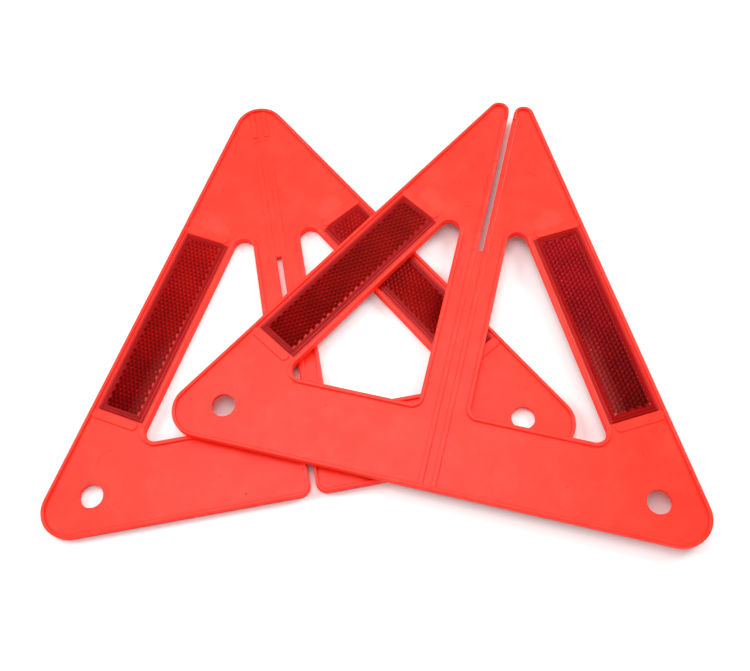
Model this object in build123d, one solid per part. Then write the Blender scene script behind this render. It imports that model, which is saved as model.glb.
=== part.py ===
from build123d import *
import os
from math import cos, radians, sin, tan

os.makedirs("parts", exist_ok=True)

# Two flat moulded panels of a slot-together warning triangle, laid flat, one on top of the other.
# Each panel carries a prism reflector strip on both slanted arms, on the upper and the lower face.
# All lengths are in millimetres and all angles in degrees.

# ---- outline of a panel, measured to the sharp corners of its equilateral triangle ----
half_base = 160.0
side_angle = 60.0
corner_radius = 16.0
tip_radius = 6.3
mouth_radius = 6.0

# ---- thicknesses, all centred on the panel's middle plane ----
rim_thickness = 5.6
web_thickness = 2.8
rib_thickness = 4.0
tab_thickness = 4.3
stack_gap = 0.3

# ---- rims, windows and the slot ----
rim_width = 2.0
window_rim_width = 2.4
rim_rounding = 0.6
rib_rounding = 0.55
tab_rounding = 0.6
arm_width = 35.1
spine_half_width = 14.4
window_floor = 45.7
window_top_radius = 6.2
window_outer_radius = 6.0
window_inner_radius = 4.5
slot_half_width = 1.6
slot_end_height = 149.0
slot_end_clearance = 0.2
mouth_rim_top = 24.0

# ---- guide ribs either side of the slot line ----
groove_half_width = 2.1
rib_width = 3.0
rib_foot = 1.5
tip_rib_top = 248.0
rear_rib_foot = 15.0
rear_rib_top = 221.5
crown_rib_foot = 238.5
crown_rib_top = 258.5

# ---- hanging holes ----
hole_radius = 6.6
hole_offset = 120.5
hole_height = 21.4

# ---- reflector strips ----
lens_length = 120.2
lens_width = 27.0
lens_corner = 1.0
flange_thickness = 1.0
lens_foot = 85.4
lens_inset = 4.2
bead_inset = 1.5
bead_width = 0.7
bead_height = 0.25
field_border = 3.0
lens_plug_depth = 1.3
pocket_clearance = 0.4
tab_gap = 0.5
tab_width = 5.7
tab_reach = 30.0
tab_root = 0.4

# ---- round moulding marks in the upper face ----
mark_radius = 6.75
mark_depth = 0.15
front_marks = [(-20.2, 201.8), (20.2, 201.8)]
rear_marks = [(0.0, 229.8), (-109.5, 38.8), (109.5, 38.8)]

# ---- how the front panel lies on the rear one ----
front_shift_x = 59.2
front_shift_y = -10.0
front_turn = -23.69

apex_height = half_base * tan(radians(side_angle))


def plate(sketch, thickness):
    """A flat solid centred on the panel's middle plane."""
    return extrude(Location((0, 0, -thickness / 2)) * sketch, thickness)


def strip(x_low, x_high, y_low, y_high):
    """A rectangle given by its sides."""
    centre = Location(((x_low + x_high) / 2, (y_low + y_high) / 2, 0))
    return centre * Rectangle(x_high - x_low, y_high - y_low)


def rounded_plate(sketch, thickness, rounding):
    """A plate with its upper and lower edges rounded."""
    solid = plate(sketch, thickness)
    straight_edges = solid.edges().filter_by(GeomType.LINE).filter_by(Axis.Z, reverse=True)
    curved_edges = solid.edges().filter_by(GeomType.CIRCLE)
    return fillet(straight_edges + curved_edges, rounding)


def arm_frame(side, along, inset):
    """A frame on a slanted arm: X runs up the arm from the base corner, inset is measured inwards."""
    slant = radians(side_angle)
    x = half_base - along * cos(slant) - inset * sin(slant)
    y = along * sin(slant) - inset * cos(slant)
    return Location((side * x, y, 0), (0, 0, 90 + side * (90 - side_angle)))


def front_outline():
    """Triangle split from its apex down to the slot's end, with two rounded tips."""
    tip_height = (half_base - slot_half_width) * tan(radians(side_angle))
    end_height = slot_end_height - slot_end_clearance
    outline = Polyline(
        (-half_base, 0),
        (half_base, 0),
        (slot_half_width, tip_height),
        (slot_half_width, end_height),
        (-slot_half_width, end_height),
        (-slot_half_width, tip_height),
        (-half_base, 0),
    )
    face = make_face(outline)
    base_corners = face.vertices().sort_by(Axis.X)[0:1] + face.vertices().sort_by(Axis.X)[-1:]
    face = fillet(base_corners, corner_radius)
    return fillet(face.vertices().group_by(Axis.Y)[-1], tip_radius)


def rear_outline():
    """Triangle with a rounded apex, split from the middle of its base up to the slot's end."""
    end_height = slot_end_height + slot_end_clearance
    outline = Polyline(
        (-half_base, 0),
        (-slot_half_width, 0),
        (-slot_half_width, end_height),
        (slot_half_width, end_height),
        (slot_half_width, 0),
        (half_base, 0),
        (0, apex_height),
        (-half_base, 0),
    )
    face = make_face(outline)
    by_x = face.vertices().sort_by(Axis.X)
    outer_corners = by_x[0:1] + by_x[-1:] + face.vertices().sort_by(Axis.Y)[-1:]
    face = fillet(outer_corners, corner_radius)
    low_vertices = face.vertices().filter_by(lambda v: v.Y < mouth_radius)
    mouth_corners = low_vertices.filter_by(lambda v: abs(v.X) < 2 * slot_half_width)
    return fillet(mouth_corners, mouth_radius)


def window_outline(side):
    """Tall three-cornered opening between the spine, the base band and one arm."""
    slant = radians(side_angle)
    floor_reach = half_base - (arm_width + window_floor * cos(slant)) / sin(slant)
    top_height = ((half_base - spine_half_width) * sin(slant) - arm_width) / cos(slant)
    corners = Polyline(
        (side * spine_half_width, window_floor),
        (side * floor_reach, window_floor),
        (side * spine_half_width, top_height),
        (side * spine_half_width, window_floor),
    )
    face = make_face(corners)
    face = fillet(face.vertices().sort_by(Axis.Y)[-1:], window_top_radius)
    face = fillet(face.vertices().sort_by(lambda v: abs(v.X))[-1:], window_outer_radius)
    floor_vertices = face.vertices().filter_by(lambda v: v.Y < window_floor + window_inner_radius)
    return fillet(floor_vertices.sort_by(lambda v: abs(v.X))[0:1], window_inner_radius)


def tab_outline(side, along):
    """Low pad with round ends, lying across the arm against a short end of the strip."""
    half = tab_width / 2
    outer_end = rim_width - tab_root + half
    inner_end = tab_reach - half
    middle = arm_frame(side, along, (outer_end + inner_end) / 2)
    pad = middle * Rectangle(tab_width, inner_end - outer_end)
    pad += arm_frame(side, along, outer_end) * Circle(half)
    return pad + arm_frame(side, along, inner_end) * Circle(half)


def rib(side, y_low, y_high):
    """One straight round-edged guide rib, beside the sliding groove."""
    x_near = side * groove_half_width
    x_far = side * (groove_half_width + rib_width)
    footprint = strip(min(x_near, x_far), max(x_near, x_far), y_low, y_high)
    return rounded_plate(footprint, rib_thickness, rib_rounding)


def panel(outline, cleared_strip, groove_strip, rib_spans, marks):
    """One moulded panel: thin web, thick rims, guide ribs, tabs, holes and reflector pockets."""
    rib_reach = groove_half_width + rib_width
    rim = outline - offset(outline, amount=-rim_width)
    ring = rounded_plate(rim, rim_thickness, rim_rounding)
    ring -= plate(strip(-rib_reach, rib_reach, *cleared_strip), 2 * rim_thickness)
    ring -= plate(strip(-groove_half_width, groove_half_width, *groove_strip), 2 * rim_thickness)
    body = plate(outline, web_thickness) + ring
    for y_low, y_high in rib_spans:
        for side in (-1, 1):
            body += rib(side, y_low, y_high) & plate(outline, rib_thickness)
    lens_middle = lens_inset + lens_width / 2
    pocket_length = lens_length - 2 * field_border + 2 * pocket_clearance
    pocket_width = lens_width - 2 * field_border + 2 * pocket_clearance
    for side in (-1, 1):
        opening = window_outline(side)
        surround = offset(opening, amount=window_rim_width)
        body += rounded_plate(surround - opening, rim_thickness, rim_rounding)
        low_tab = lens_foot - tab_gap - tab_width / 2
        high_tab = lens_foot + lens_length + tab_gap + tab_width / 2
        body += rounded_plate(tab_outline(side, low_tab), tab_thickness, tab_rounding)
        body += rounded_plate(tab_outline(side, high_tab), tab_thickness, tab_rounding)
        body -= plate(opening, 2 * rim_thickness)
        pocket = arm_frame(side, lens_foot + lens_length / 2, lens_middle)
        body -= plate(pocket * Rectangle(pocket_length, pocket_width), 2 * rim_thickness)
        hole = Location((side * hole_offset, hole_height, 0)) * Circle(hole_radius)
        body -= plate(hole, 2 * rim_thickness)
    for x, y in marks:
        cutter = Cylinder(mark_radius, 2 * mark_depth)
        body -= Location((x, y, web_thickness / 2)) * cutter
    return body


def lens(side, face):
    """One reflector strip: a flat flange with a raised bead, and a prism block behind it."""
    seat = web_thickness / 2
    top = seat + flange_thickness
    flange = Location((0, 0, seat)) * RectangleRounded(lens_length, lens_width, lens_corner)
    bead_length = lens_length - 2 * bead_inset
    bead_breadth = lens_width - 2 * bead_inset
    bead = RectangleRounded(bead_length, bead_breadth, lens_corner)
    bead -= RectangleRounded(bead_length - 2 * bead_width, bead_breadth - 2 * bead_width, lens_corner / 2)
    solid = extrude(flange, flange_thickness) + extrude(Location((0, 0, top)) * bead, bead_height)
    block = Rectangle(lens_length - 2 * field_border, lens_width - 2 * field_border)
    solid += extrude(Location((0, 0, seat - lens_plug_depth)) * block, lens_plug_depth)
    if face < 0:
        solid = mirror(solid, about=Plane.XY)
    return arm_frame(side, lens_foot + lens_length / 2, lens_inset + lens_width / 2) * solid


front_slot = (slot_end_height - 2 * rim_width, tip_rib_top - rim_width)
front_panel = panel(
    front_outline(),
    cleared_strip=front_slot,
    groove_strip=(slot_end_height, apex_height),
    rib_spans=[(rib_foot, tip_rib_top)],
    marks=front_marks,
)

rear_slot = (mouth_rim_top, slot_end_height + 2 * rim_width)
rear_panel = panel(
    rear_outline(),
    cleared_strip=rear_slot,
    groove_strip=(0, slot_end_height),
    rib_spans=[(rear_rib_foot, rear_rib_top), (crown_rib_foot, crown_rib_top)],
    marks=rear_marks,
)

rear_place = Location((0, 0, rim_thickness / 2))
front_height = rim_thickness * 1.5 + stack_gap
front_place = Location((front_shift_x, front_shift_y, front_height), (0, 0, front_turn))

pieces = {
    "rear_panel": rear_place * rear_panel,
    "front_panel": front_place * front_panel,
}
for panel_name, place in (("rear", rear_place), ("front", front_place)):
    for side_name, side in (("left", -1), ("right", 1)):
        for face_name, face in (("upper", 1), ("lower", -1)):
            name = panel_name + "_" + side_name + "_reflector_" + face_name
            pieces[name] = place * lens(side, face)

# The origin sits under the middle of the two stacked panels, on the ground.
boxes = [piece.bounding_box() for piece in pieces.values()]
middle_x = (min(box.min.X for box in boxes) + max(box.max.X for box in boxes)) / 2
middle_y = (min(box.min.Y for box in boxes) + max(box.max.Y for box in boxes)) / 2
centre = Location((-middle_x, -middle_y, 0))

for name, piece in pieces.items():
    export_step((centre * piece).solid(), "parts/" + name + ".step")
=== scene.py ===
from math import cos, pi, radians, sin, sqrt

import bmesh
import bpy
import numpy as np
from mathutils import Matrix, Vector
from mathutils.geometry import delaunay_2d_cdt


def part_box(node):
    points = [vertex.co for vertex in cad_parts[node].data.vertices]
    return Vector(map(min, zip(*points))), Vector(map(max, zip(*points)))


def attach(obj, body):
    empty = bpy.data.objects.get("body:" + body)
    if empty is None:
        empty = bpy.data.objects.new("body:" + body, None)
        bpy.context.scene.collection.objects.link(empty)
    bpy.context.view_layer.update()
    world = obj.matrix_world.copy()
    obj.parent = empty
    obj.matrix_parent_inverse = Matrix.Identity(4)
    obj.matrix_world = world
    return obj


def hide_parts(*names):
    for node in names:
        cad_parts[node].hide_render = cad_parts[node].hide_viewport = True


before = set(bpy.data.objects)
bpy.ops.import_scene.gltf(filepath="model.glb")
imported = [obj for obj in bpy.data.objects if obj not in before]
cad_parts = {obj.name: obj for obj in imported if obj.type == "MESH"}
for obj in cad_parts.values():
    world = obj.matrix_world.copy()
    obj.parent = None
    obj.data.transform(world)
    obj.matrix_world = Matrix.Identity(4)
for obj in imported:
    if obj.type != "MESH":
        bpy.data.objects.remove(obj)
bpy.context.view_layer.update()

MM = 0.001
CORNER_SIGNS = [(-1, -1), (1, -1), (1, 1), (-1, 1)]

# ---- camera, in the row frame ----
IMAGE_WIDTH = 750
SENSOR_WIDTH = 36.0
FOCAL_PIXELS = 926.2
CAMERA_TARGET = Vector((21.2, -10.1, 0.0)) * MM
CAMERA_AZIMUTH = -3.95
CAMERA_ELEVATION = 65.70
CAMERA_DISTANCE = 542.0 * MM
CAMERA_ROLL = -6.48

# ---- reflector strips ----
STRIP_BORDER = 3.0 * MM
BEAD_INSET = 1.5 * MM
BEAD_WIDTH = 0.7 * MM
BEAD_HEIGHT = 0.25 * MM
BEAD_SLOPE = 0.15 * MM
EDGE_BEVEL = 0.25 * MM
FLANGE_THICKNESS = 1.0 * MM
PLUG_DEPTH = 1.3 * MM
PRISM_PITCH = 2.69 * MM
PRISM_DEPTH = 1.0 * MM
CELL_ROOM = 0.36
CELL_MARGIN = 0.06 * MM
WELD_DISTANCE = 0.02 * MM

# ---- tone of each arm's prism field: ridge red at the strip's foot and head, strength of the painted shade in the pits, strength of the painted reflection haze ----
PRISM_TONES = {
    "rear_left": ((0.21, 0.001, 0.001), (0.50, 0.008, 0.007), 1.0, 0.30),
    "rear_right": ((0.20, 0.002, 0.001), (0.34, 0.007, 0.006), 0.5, 0.10),
    "front_left": ((0.195, 0.002, 0.001), (0.285, 0.008, 0.006), 0.5, 0.0),
    "front_right": ((0.105, 0.001, 0.001), (0.29, 0.005, 0.008), 0.4, 0.45),
}

# ---- arms whose pits get painted shade in dark rows: heading of the face of each pit that is painted darker, and how much darker ----
PRISM_ROW_SHADE = {
    "rear_right": ((1.0, 0.0, 0.0), 0.35),
    "front_left": ((-0.5, -0.866, 0.0), 0.38),
}

# ---- rows of pits, then the bands and reds of the prism fields, from each strip's middle: painted reflection band, lift of the faces outside the painted row shade, painted shade in the pits, painted reflection haze and painted glints ----
ROW_PITCH = PRISM_PITCH * sqrt(3.0) / 2
ROW_SHIFT = PRISM_PITCH / sqrt(12.0)
TONE_SPAN = 52.0 * MM
REFLECTION_BAND = (2.0 * MM, 9.0 * MM)
REFLECTION_FADE = (-25.0 * MM, 5.0 * MM)
PLAIN_FACE = 1.15
PIT_SHADE_TINT = (0.25, 0.15, 0.15)
REFLECTION_RED = (0.34, 0.032, 0.028)
GLINT_RED = (0.80, 0.012, 0.022)

# ---- a strip's border, from the strip's middle: painted highlight along the outer lip, painted highlight in the gaps between the prism teeth, and the reds ----
LIP_HIGHLIGHT_BAND = (12.6 * MM, 13.1 * MM)
TEETH_START = (9.3 * MM, 9.5 * MM)
TEETH_END = (10.25 * MM, 10.45 * MM)
TEETH_FADE = (-5.0 * MM, 10.0 * MM)
BORDER_DARK = (0.25, 0.001, 0.001)
BORDER_LIGHT = (0.30, 0.002, 0.002)
LIP_HIGHLIGHT_RED = (0.50, 0.020, 0.018)
TEETH_HIGHLIGHT_RED = (0.62, 0.045, 0.040)

# ---- reds of the moulded panels ----
PANEL_DARK = (0.96, 0.017, 0.003)
PANEL_LIGHT = (0.98, 0.021, 0.005)
MOTTLE_RED = (0.98, 0.032, 0.014)
PALE_MARK_RED = (0.98, 0.044, 0.024)
# painted shade for the narrow gap round each strip
GAP_SHADE_RED = (0.40, 0.002, 0.001)
FLECK_RED = (0.20, 0.003, 0.005)

# ---- paler marks beyond a strip's head: distance past it, distance to the outer side, radius ----
PALE_MARKS = [(11.0 * MM, -1.0 * MM, 7.5 * MM), (9.0 * MM, 6.0 * MM, 5.5 * MM)]

# ---- painted shade in the gap round a strip, as the distances where it fades out, and the fleck in the rear base band ----
END_GAP_SHADE = (0.0, 0.8 * MM)
SIDE_GAP_SHADE = (0.8 * MM, 1.6 * MM)
FLECK_X = 111.7 * MM
FLECK_Y = 6.9 * MM
FLECK_RADIUS = 0.8 * MM

# ---- stage: the floor's half width, and each soft box's name, place, size and radiance, in metres ----
FLOOR_HALF = 3.0
SOFT_BOXES = [
    ("top_box", (-0.05, 0.2, 1.3), (0.9, 0.9), 2.6),
    ("back_sheet", (0.1, 1.3, 1.3), (2.6, 1.2), 0.8),
    ("left_box", (-1.4, 0.6, 1.1), (0.8, 0.8), 11.0),
    ("right_box", (1.4, 0.6, 1.1), (0.8, 0.8), 11.0),
    ("front_left_box", (-0.8, -1.2, 1.1), (0.8, 0.8), 2.2),
    ("front_right_box", (0.8, -1.2, 1.1), (0.8, 0.8), 2.2),
]


def new_material(name):
    """An empty node material with a Principled surface: the material, its nodes, links and shader."""
    material = bpy.data.materials.new(name)
    material.use_nodes = True
    nodes = material.node_tree.nodes
    links = material.node_tree.links
    shader = nodes["Principled BSDF"]
    return material, nodes, links, shader


def math_node(nodes, links, operation, first, second=0.0):
    """A maths node on two inputs, each a socket or a number."""
    node = nodes.new("ShaderNodeMath")
    node.operation = operation
    for socket, value in zip(node.inputs, (first, second)):
        if isinstance(value, float):
            socket.default_value = value
        else:
            links.new(value, socket)
    return node.outputs["Value"]


def noise(nodes, links, scale, detail=2.0, roughness=0.5):
    """A noise texture in the row frame, with scale in features per metre."""
    coords = nodes.new("ShaderNodeTexCoord")
    texture = nodes.new("ShaderNodeTexNoise")
    texture.inputs["Scale"].default_value = scale
    texture.inputs["Detail"].default_value = detail
    texture.inputs["Roughness"].default_value = roughness
    links.new(coords.outputs["Object"], texture.inputs["Vector"])
    return texture.outputs["Fac"]


def remap(nodes, links, value, low, high, out_low, out_high):
    """Value remapped from one range to another and clamped."""
    node = nodes.new("ShaderNodeMapRange")
    node.inputs["From Min"].default_value = low
    node.inputs["From Max"].default_value = high
    node.inputs["To Min"].default_value = out_low
    node.inputs["To Max"].default_value = out_high
    links.new(value, node.inputs["Value"])
    return node.outputs["Result"]


def mix_colours(nodes, links, factor, first, second, blend="MIX"):
    """Blend of two colours, each given as numbers or as a socket, by a factor socket or in full."""
    node = nodes.new("ShaderNodeMix")
    node.data_type = "RGBA"
    node.blend_type = blend
    node.inputs["Factor"].default_value = 1.0
    for name, colour in (("A", first), ("B", second)):
        if isinstance(colour, tuple):
            node.inputs[name].default_value = (*colour, 1.0)
        else:
            links.new(colour, node.inputs[name])
    if factor is not None:
        links.new(factor, node.inputs["Factor"])
    return node.outputs["Result"]


def scaled(nodes, links, value, factor):
    """A value multiplied by a number or by another value."""
    return math_node(nodes, links, "MULTIPLY", value, factor)


def reach_along(nodes, links, vector, heading):
    """How far a vector socket reaches along a heading."""
    node = nodes.new("ShaderNodeVectorMath")
    node.operation = "DOT_PRODUCT"
    node.inputs[1].default_value = heading
    links.new(vector, node.inputs[0])
    return node.outputs["Value"]


def bump(nodes, links, height, strength, distance, below=None):
    """A bump node, stacked on another one if given."""
    node = nodes.new("ShaderNodeBump")
    node.inputs["Strength"].default_value = strength
    node.inputs["Distance"].default_value = distance
    links.new(height, node.inputs["Height"])
    if below is not None:
        links.new(below, node.inputs["Normal"])
    return node.outputs["Normal"]


def blot(nodes, links, place, radius, softness):
    """A factor that is 1 inside a circle about a place in the row frame and fades to 0 at its edge."""
    coords = nodes.new("ShaderNodeTexCoord")
    flat = nodes.new("ShaderNodeVectorMath")
    flat.operation = "MULTIPLY"
    flat.inputs[1].default_value = (1.0, 1.0, 0.0)
    links.new(coords.outputs["Object"], flat.inputs[0])
    away = nodes.new("ShaderNodeVectorMath")
    away.operation = "DISTANCE"
    away.inputs[1].default_value = (place.x, place.y, 0.0)
    links.new(flat.outputs["Vector"], away.inputs[0])
    return remap(nodes, links, away.outputs["Value"], radius * (1.0 - softness), radius, 1.0, 0.0)


def pale_marks(arms):
    """Places and sizes of the faint paler marks beyond the heads of the strips."""
    marks = []
    for arm in arms:
        matrix, length, _, _ = strip_frame(arm + "_reflector_upper")
        side = 1.0 if "right" in arm else -1.0
        for past_head, outwards, radius in PALE_MARKS:
            marks.append((matrix @ Vector((length / 2 + past_head, side * outwards, 0.0)), radius))
    return marks


def painted_gap_shade(nodes, links, node):
    """A mask for painted shade: 1 at a strip's outline, fading to 0 across the narrow gap round it."""
    matrix, length, width, _ = strip_frame(node)
    coords = nodes.new("ShaderNodeTexCoord")
    mapping = nodes.new("ShaderNodeMapping")
    mapping.vector_type = "TEXTURE"
    mapping.inputs["Location"].default_value = matrix.translation
    mapping.inputs["Rotation"].default_value = matrix.to_euler()
    links.new(coords.outputs["Object"], mapping.inputs["Vector"])
    split = nodes.new("ShaderNodeSeparateXYZ")
    links.new(mapping.outputs["Vector"], split.inputs["Vector"])
    along = math_node(nodes, links, "ABSOLUTE", split.outputs["X"])
    across = math_node(nodes, links, "ABSOLUTE", split.outputs["Y"])
    end_low, end_high = (length / 2 + reach for reach in END_GAP_SHADE)
    side_low, side_high = (width / 2 + reach for reach in SIDE_GAP_SHADE)
    past_end = remap(nodes, links, along, end_low, end_high, 0.0, 1.0)
    past_side = remap(nodes, links, across, side_low, side_high, 0.0, 1.0)
    away = math_node(nodes, links, "MAXIMUM", past_end, past_side)
    return math_node(nodes, links, "SUBTRACT", 1.0, away)


def dark_fleck():
    """Place and size of the small dark fleck in the rear panel's base band."""
    low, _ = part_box("rear_panel")
    return Vector((low[0] + FLECK_X, low[1] + FLECK_Y, 0.0)), FLECK_RADIUS


def moulded_red(panel):
    """Orange-red polypropylene: satin faces, duller sides, slow flow marks, painted shade in the gaps round
    the strips.
    """
    material, nodes, links, shader = new_material(panel + "_red")
    arms = [arm for arm in sorted(PRISM_TONES) if arm.split("_")[0] == panel.split("_")[0]]
    flow = noise(nodes, links, 14.0, 3.0, 0.6)
    blend = remap(nodes, links, flow, 0.35, 0.65, 0.0, 1.0)
    colour = mix_colours(nodes, links, blend, PANEL_DARK, PANEL_LIGHT)
    mottle = remap(nodes, links, noise(nodes, links, 75.0, 4.0, 0.65), 0.45, 0.75, 0.0, 1.0)
    colour = mix_colours(nodes, links, mottle, colour, MOTTLE_RED)
    for place, radius in pale_marks(arms):
        mark = blot(nodes, links, place, radius, 0.35)
        colour = mix_colours(nodes, links, scaled(nodes, links, mark, 0.5), colour, PALE_MARK_RED)
    for arm in arms:
        # painted shade: the panel's red darkens in the narrow gap round each strip
        gap_shade = scaled(nodes, links, painted_gap_shade(nodes, links, arm + "_reflector_upper"), 0.9)
        colour = mix_colours(nodes, links, gap_shade, colour, GAP_SHADE_RED)
    if panel == "rear_panel":
        fleck = blot(nodes, links, *dark_fleck(), 0.5)
        colour = mix_colours(nodes, links, fleck, colour, FLECK_RED)
    links.new(colour, shader.inputs["Base Color"])
    coords = nodes.new("ShaderNodeTexCoord")
    split = nodes.new("ShaderNodeSeparateXYZ")
    links.new(coords.outputs["Normal"], split.inputs["Vector"])
    upright = math_node(nodes, links, "ABSOLUTE", split.outputs["Z"])
    side = remap(nodes, links, upright, 0.2, 0.9, 0.35, 0.0)
    cloud = noise(nodes, links, 45.0, 3.0, 0.6)
    gloss = remap(nodes, links, cloud, 0.3, 0.7, 0.27, 0.35)
    links.new(math_node(nodes, links, "ADD", side, gloss), shader.inputs["Roughness"])
    shader.inputs["Specular IOR Level"].default_value = 0.36
    grain = noise(nodes, links, 1500.0, 2.0, 0.5)
    sink = noise(nodes, links, 38.0, 2.0, 0.5)
    wavy = bump(nodes, links, sink, 0.25, 0.4 * MM)
    links.new(bump(nodes, links, grain, 0.12, 0.05 * MM, wavy), shader.inputs["Normal"])
    return material


def inner_side(node):
    """Which way the panel's middle lies from a strip, as the sign of the strip's own Y."""
    return 1.0 if ("right" in node) == ("upper" in node) else -1.0


def painted_row_shade(nodes, links, coords, heading, darkening):
    """Painted shade: a grey that darkens one face of every pit and the rows of pits square to the heading.
    """
    turned_away = reach_along(nodes, links, coords.outputs["Normal"], heading)
    faces = remap(nodes, links, turned_away, -0.1, 0.4, 0.0, 0.4)
    across = reach_along(nodes, links, coords.outputs["Object"], heading)
    past = math_node(nodes, links, "ADD", across, ROW_SHIFT)
    wave = math_node(nodes, links, "COSINE", scaled(nodes, links, past, 2 * pi / ROW_PITCH))
    stripes = remap(nodes, links, wave, -0.3, 0.8, 0.0, 0.6)
    rows = math_node(nodes, links, "ADD", faces, stripes)
    return mix_colours(nodes, links, rows, (PLAIN_FACE,) * 3, (PLAIN_FACE - darkening,) * 3)


def prism_red(node):
    """Red acrylic prisms: painted shade deepening the red in the pits, deeper red by the strip's foot,
    painted glints as bright specks on the ridges, and a painted reflection haze along the inner side.
    """
    arm = node.rsplit("_", 2)[0]
    foot, head, pit_shade_strength, reflection_strength = PRISM_TONES[arm]
    inner = inner_side(node)
    material, nodes, links, shader = new_material(node + "_prisms")
    coords = nodes.new("ShaderNodeTexCoord")
    split = nodes.new("ShaderNodeSeparateXYZ")
    links.new(coords.outputs["Object"], split.inputs["Vector"])
    # painted shade: the red deepens with depth in the pits
    pit_shade = remap(nodes, links, split.outputs["Z"], -BEAD_HEIGHT - PRISM_DEPTH, -BEAD_HEIGHT, pit_shade_strength, 0.0)
    along = remap(nodes, links, split.outputs["X"], -TONE_SPAN, TONE_SPAN, 0.0, 1.0)
    reflection_low, reflection_high = (inner * reach for reach in REFLECTION_BAND)
    inwards = remap(nodes, links, split.outputs["Y"], reflection_low, reflection_high, 0.0, 1.0)
    ridge = mix_colours(nodes, links, along, foot, head)
    pits = mix_colours(nodes, links, pit_shade, (1.0, 1.0, 1.0), PIT_SHADE_TINT)
    field = mix_colours(nodes, links, None, ridge, pits, "MULTIPLY")
    if arm in PRISM_ROW_SHADE:
        # painted shade on one face of each pit and along rows of pits
        rows = painted_row_shade(nodes, links, coords, *PRISM_ROW_SHADE[arm])
        field = mix_colours(nodes, links, None, field, rows, "MULTIPLY")
    cloud = remap(nodes, links, noise(nodes, links, 55.0, 2.0, 0.5), 0.35, 0.65, 0.0, 1.0)
    shade = mix_colours(nodes, links, cloud, (0.85, 0.85, 0.85), (1.12, 1.12, 1.12))
    field = mix_colours(nodes, links, None, field, shade, "MULTIPLY")
    # painted reflection: a pale haze in a band along the inner side, fading towards the strip's foot
    foot_fade = remap(nodes, links, split.outputs["X"], *REFLECTION_FADE, reflection_strength, 0.0)
    reflection = scaled(nodes, links, inwards, foot_fade)
    field = mix_colours(nodes, links, reflection, field, REFLECTION_RED)
    # painted glints: bright red specks on the ridge tops, stronger towards the inner side
    glint_noise = remap(nodes, links, noise(nodes, links, 520.0, 1.0, 0.5), 0.58, 0.64, 0.0, 1.0)
    ridge_foot = -BEAD_HEIGHT - PRISM_DEPTH * 0.45
    crest = remap(nodes, links, split.outputs["Z"], ridge_foot, -BEAD_HEIGHT, 0.0, 1.0)
    near = remap(nodes, links, inwards, 0.0, 1.0, 0.35, 1.0)
    glint = scaled(nodes, links, scaled(nodes, links, glint_noise, crest), near)
    field = mix_colours(nodes, links, glint, field, GLINT_RED)
    links.new(field, shader.inputs["Base Color"])
    shader.inputs["Metallic"].default_value = 0.2
    shader.inputs["Roughness"].default_value = 0.4
    shader.inputs["Specular IOR Level"].default_value = 0.03
    grain = noise(nodes, links, 900.0, 1.0, 0.5)
    links.new(bump(nodes, links, grain, 0.05, 0.05 * MM), shader.inputs["Normal"])
    return material


def border_red(node=None):
    """Solid welded edge of a strip: dark clear red, with a painted highlight along the outer lip and a
    brighter painted highlight between the teeth along its inner edge.
    """
    material, nodes, links, shader = new_material((node + "_" if node else "") + "border_red")
    patch = noise(nodes, links, 90.0, 2.0, 0.5)
    blend = remap(nodes, links, patch, 0.35, 0.65, 0.0, 1.0)
    colour = mix_colours(nodes, links, blend, BORDER_DARK, BORDER_LIGHT)
    coords = nodes.new("ShaderNodeTexCoord")
    split = nodes.new("ShaderNodeSeparateXYZ")
    links.new(coords.outputs["Object"], split.inputs["Vector"])
    across = math_node(nodes, links, "ABSOLUTE", split.outputs["Y"])
    # painted highlight: a lighter band along the strip's rounded outer lip
    lip_highlight = remap(nodes, links, across, *LIP_HIGHLIGHT_BAND, 0.0, 0.7)
    colour = mix_colours(nodes, links, lip_highlight, colour, LIP_HIGHLIGHT_RED)
    if node and "left" in node:
        inner = inner_side(node)
        # painted highlight: a bright band between the prism teeth along the inner edge, fading towards the
        # foot
        start_low, start_high = (inner * reach for reach in TEETH_START)
        end_low, end_high = (inner * reach for reach in TEETH_END)
        start = remap(nodes, links, split.outputs["Y"], start_low, start_high, 0.0, 1.0)
        end = remap(nodes, links, split.outputs["Y"], end_low, end_high, 1.0, 0.0)
        foot = remap(nodes, links, split.outputs["X"], *TEETH_FADE, 0.9, 0.25)
        teeth_highlight = scaled(nodes, links, scaled(nodes, links, start, end), foot)
        colour = mix_colours(nodes, links, teeth_highlight, colour, TEETH_HIGHLIGHT_RED)
    links.new(colour, shader.inputs["Base Color"])
    shader.inputs["Roughness"].default_value = 0.2
    shader.inputs["Specular IOR Level"].default_value = 0.12
    ripple = noise(nodes, links, 350.0, 1.0, 0.5)
    links.new(bump(nodes, links, ripple, 0.08, 0.08 * MM), shader.inputs["Normal"])
    return material


def pale_floor():
    """White table top with a barely visible mottling."""
    material, nodes, links, shader = new_material("pale_floor")
    mottle = noise(nodes, links, 9.0, 3.0, 0.6)
    colour = mix_colours(nodes, links, mottle, (0.90, 0.90, 0.90), (0.93, 0.93, 0.93))
    links.new(colour, shader.inputs["Base Color"])
    shader.inputs["Roughness"].default_value = 0.6
    return material


def mesh_object(name, mesh, material):
    """Links a mesh to the scene as an object with one material."""
    piece = bpy.data.objects.new(name, mesh)
    bpy.context.scene.collection.objects.link(piece)
    mesh.materials.append(material)
    return piece


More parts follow.
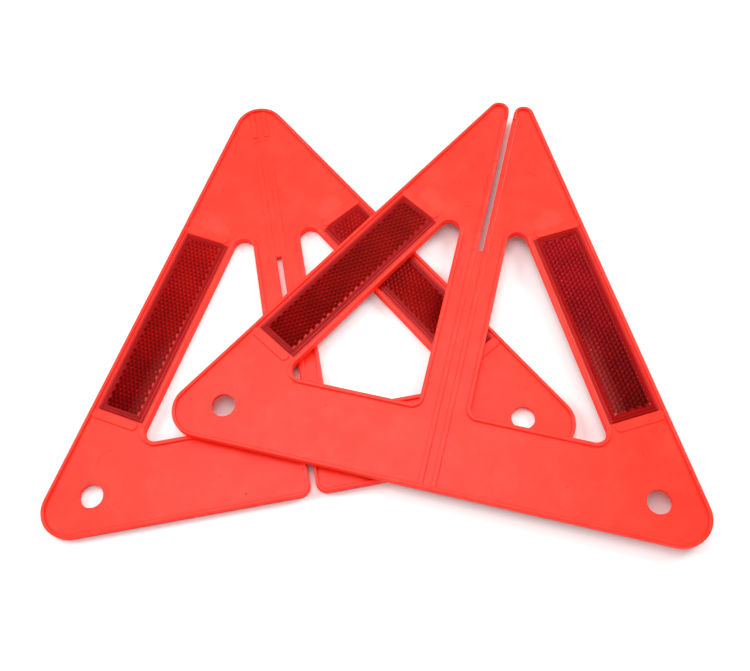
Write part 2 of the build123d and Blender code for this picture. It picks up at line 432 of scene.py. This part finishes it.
def strip_frame(node):
    """A reflector strip's matrix (X along it, Z out of its clear face), length, width and height."""
    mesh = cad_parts[node].data
    points = np.array([tuple(v.co) for v in mesh.vertices])
    flat = points[:, :2]
    edges = np.array([tuple(e.vertices) for e in mesh.edges])
    spans = flat[edges[:, 1]] - flat[edges[:, 0]]
    long_spans = spans[np.hypot(spans[:, 0], spans[:, 1]) > 20 * MM]
    best = None
    for span in long_spans:
        along = span / np.hypot(*span)
        across = np.array((-along[1], along[0]))
        u = flat @ along
        v = flat @ across
        area = np.ptp(u) * np.ptp(v)
        if np.ptp(u) > np.ptp(v) and (best is None or area < best[0]):
            best = (area, along, across, u, v)
    _, along, across, u, v = best
    if along[1] < 0:
        along, across, u, v = -along, -across, -u, -v
    facing = 1.0 if node.endswith("upper") else -1.0
    low, high = points[:, 2].min(), points[:, 2].max()
    top = high if facing > 0 else low
    middle = along * (u.max() + u.min()) / 2 + across * (v.max() + v.min()) / 2
    side = across * facing
    matrix = Matrix((
        (along[0], side[0], 0.0, middle[0]),
        (along[1], side[1], 0.0, middle[1]),
        (0.0, 0.0, facing, top),
        (0.0, 0.0, 0.0, 1.0),
    ))
    return matrix, np.ptp(u), np.ptp(v), high - low


def prism_block(length, width, depth, turned):
    """A closed block with a honeycomb of three-faced pits in its top, the ridges at z = 0."""
    pitch = PRISM_PITCH
    radius = pitch / sqrt(3.0)
    bm = bmesh.new()
    first = Vector((pitch, 0.0)) if turned else Vector((0.0, pitch))
    second = Vector((pitch / 2, ROW_PITCH)) if turned else Vector((ROW_PITCH, pitch / 2))
    start = pi / 2 if turned else 0.0
    room_x = length / 2 - CELL_ROOM * pitch
    room_y = width / 2 - CELL_ROOM * pitch
    reach = int(2 * length / pitch)
    cells = []
    others = []
    for i in range(-reach, reach + 1):
        for j in range(-reach, reach + 1):
            cell = i * first + j * second
            if abs(cell.x) <= room_x and abs(cell.y) <= room_y:
                cells.append(cell)
            elif abs(cell.x) <= room_x + 3 * pitch and abs(cell.y) <= room_y + 3 * pitch:
                others.append(cell)
    for cell in cells:
        turns = [start + k * pi / 3 for k in range(6)]
        drops = [0.0 if k % 2 else -PRISM_DEPTH / 2 for k in range(6)]
        rim = []
        for turn, drop in zip(turns, drops):
            rim.append(bm.verts.new((cell.x + radius * cos(turn), cell.y + radius * sin(turn), drop)))
        bottom = bm.verts.new((cell.x, cell.y, -PRISM_DEPTH))
        for k in (1, 3, 5):
            bm.faces.new((bottom, rim[k - 1], rim[k], rim[(k + 1) % 6]))
    bmesh.ops.remove_doubles(bm, verts=bm.verts[:], dist=WELD_DISTANCE)
    cut_x = length / 2 - CELL_MARGIN
    cut_y = width / 2 - CELL_MARGIN
    for normal, cut in (((1, 0, 0), cut_x), ((-1, 0, 0), cut_x), ((0, 1, 0), cut_y), ((0, -1, 0), cut_y)):
        geometry = bm.verts[:] + bm.edges[:] + bm.faces[:]
        place = Vector(normal) * cut
        bmesh.ops.bisect_plane(bm, geom=geometry, plane_co=place, plane_no=normal, clear_outer=True)
    corners = [(sx * length / 2, sy * width / 2) for sx, sy in CORNER_SIGNS]
    top = [bm.verts.new((x, y, 0.0)) for x, y in corners]
    foot = [bm.verts.new((x, y, -depth)) for x, y in corners]
    shore = [edge for edge in bm.edges if edge.is_boundary]
    flat = top + sorted({v for edge in shore for v in edge.verts}, key=lambda v: (v.co.x, v.co.y))
    order = {v: k for k, v in enumerate(flat)}
    lines = [(k, (k + 1) % 4) for k in range(4)]
    lines += [(order[edge.verts[0]], order[edge.verts[1]]) for edge in shore]
    points = [v.co.xy / MM for v in flat]
    _, _, faces, sources, _, _ = delaunay_2d_cdt(points, lines, [], 1, 1e-4)
    for face in faces:
        ring = [flat[sources[k][0]] for k in face]
        middle = sum((v.co.xy for v in ring), Vector((0.0, 0.0))) / len(ring)
        nearest = min((middle - cell).length for cell in cells)
        in_cell = nearest < min((middle - cell).length for cell in others)
        if in_cell and abs(middle.x) < cut_x and abs(middle.y) < cut_y:
            continue
        bm.faces.new(ring).material_index = 1
    for k in range(4):
        bm.faces.new((foot[k], foot[(k + 1) % 4], top[(k + 1) % 4], top[k]))
    bm.faces.new(foot[::-1])
    bmesh.ops.recalc_face_normals(bm, faces=bm.faces[:])
    mesh = bpy.data.meshes.new("prisms")
    bm.to_mesh(mesh)
    bm.free()
    return mesh


def ring_profile(length, width, profile, name):
    """A closed moulding: the (inset, height) profile carried round a rectangle with mitred corners."""
    bm = bmesh.new()
    loops = []
    for inset, height in profile:
        x = length / 2 - inset
        y = width / 2 - inset
        loops.append([bm.verts.new((sx * x, sy * y, height)) for sx, sy in CORNER_SIGNS])
    for a, b in zip(loops, loops[1:] + loops[:1]):
        for k in range(4):
            bm.faces.new((a[k], a[(k + 1) % 4], b[(k + 1) % 4], b[k]))
    bmesh.ops.recalc_face_normals(bm, faces=bm.faces[:])
    mesh = bpy.data.meshes.new(name)
    bm.to_mesh(mesh)
    bm.free()
    return mesh


def reflector(node, prisms, border, surround):
    """The finer pieces of one reflector strip: its beaded border and its prism field."""
    matrix, length, width, height = strip_frame(node)
    body = "front_triangle" if node.startswith("front") else "rear_triangle"
    flange_top = PLUG_DEPTH + FLANGE_THICKNESS - height
    flange_foot = flange_top - FLANGE_THICKNESS
    profile = [
        (0.0, flange_foot),
        (0.0, flange_top - EDGE_BEVEL),
        (EDGE_BEVEL, flange_top),
        (BEAD_INSET, flange_top),
        (BEAD_INSET + BEAD_SLOPE, 0.0),
        (BEAD_INSET + BEAD_WIDTH - BEAD_SLOPE, 0.0),
        (BEAD_INSET + BEAD_WIDTH, flange_top),
        (STRIP_BORDER, flange_top),
        (STRIP_BORDER, flange_foot),
    ]
    rim = mesh_object(node + "_border", ring_profile(length, width, profile, node + "_border"), border)
    turned = node.startswith("front_right")
    depth = height + flange_top
    field = prism_block(length - 2 * STRIP_BORDER, width - 2 * STRIP_BORDER, depth, turned)
    field.transform(Matrix.Translation((0.0, 0.0, flange_top)))
    pits = mesh_object(node + "_prisms", field, prisms)
    field.materials.append(surround)
    for piece in (rim, pits):
        piece.matrix_world = matrix
        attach(piece, body)
        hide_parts(node)


def make_camera():
    """The camera, turned about its target by azimuth, elevation and roll."""
    data = bpy.data.cameras.new("camera")
    data.sensor_width = SENSOR_WIDTH
    data.lens = FOCAL_PIXELS / IMAGE_WIDTH * SENSOR_WIDTH
    data.clip_start = 0.01
    data.clip_end = 10.0
    camera = bpy.data.objects.new("camera", data)
    bpy.context.scene.collection.objects.link(camera)
    azimuth = radians(CAMERA_AZIMUTH)
    elevation = radians(CAMERA_ELEVATION)
    turn = Matrix.Rotation(azimuth, 4, "Z") @ Matrix.Rotation(pi / 2 - elevation, 4, "X")
    back = Matrix.Translation((0.0, 0.0, CAMERA_DISTANCE))
    roll = Matrix.Rotation(radians(CAMERA_ROLL), 4, "Z")
    camera.matrix_world = Matrix.Translation(CAMERA_TARGET) @ turn @ back @ roll
    bpy.context.scene.camera = camera


def area_light(name, place, aim, size, radiance):
    """A soft box of some width and height, aimed at a point, with the radiance of its face."""
    data = bpy.data.lights.new(name, "AREA")
    data.shape = "RECTANGLE"
    data.size, data.size_y = size
    data.energy = radiance * pi * size[0] * size[1]
    light = bpy.data.objects.new(name, data)
    bpy.context.scene.collection.objects.link(light)
    direction = Vector(aim) - Vector(place)
    light.matrix_world = Matrix.Translation(place) @ direction.to_track_quat("-Z", "Y").to_matrix().to_4x4()
    return light


def make_stage():
    """Pale floor, white surroundings and soft boxes."""
    mesh = bpy.data.meshes.new("floor")
    corners = [(sx * FLOOR_HALF, sy * FLOOR_HALF, 0.0) for sx, sy in CORNER_SIGNS]
    mesh.from_pydata(corners, [], [(0, 1, 2, 3)])
    floor = mesh_object("floor", mesh, pale_floor())
    world = bpy.data.worlds.new("world")
    bpy.context.scene.world = world
    world.use_nodes = True
    background = world.node_tree.nodes["Background"]
    background.inputs["Color"].default_value = (1.0, 1.0, 1.0, 1.0)
    background.inputs["Strength"].default_value = 0.3
    for name, place, size, radiance in SOFT_BOXES:
        area_light(name, place, (0.0, 0.0, 0.0), size, radiance)


make_stage()
make_camera()
for name in ("rear_panel", "front_panel"):
    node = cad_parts[name]
    node.data.materials.clear()
    node.data.materials.append(moulded_red(name))
border = border_red()
for name in sorted(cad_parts):
    if "_reflector_" in name:
        reflector(name, prism_red(name), border, border_red(name))

bpy.context.scene.view_settings.view_transform = "Standard"
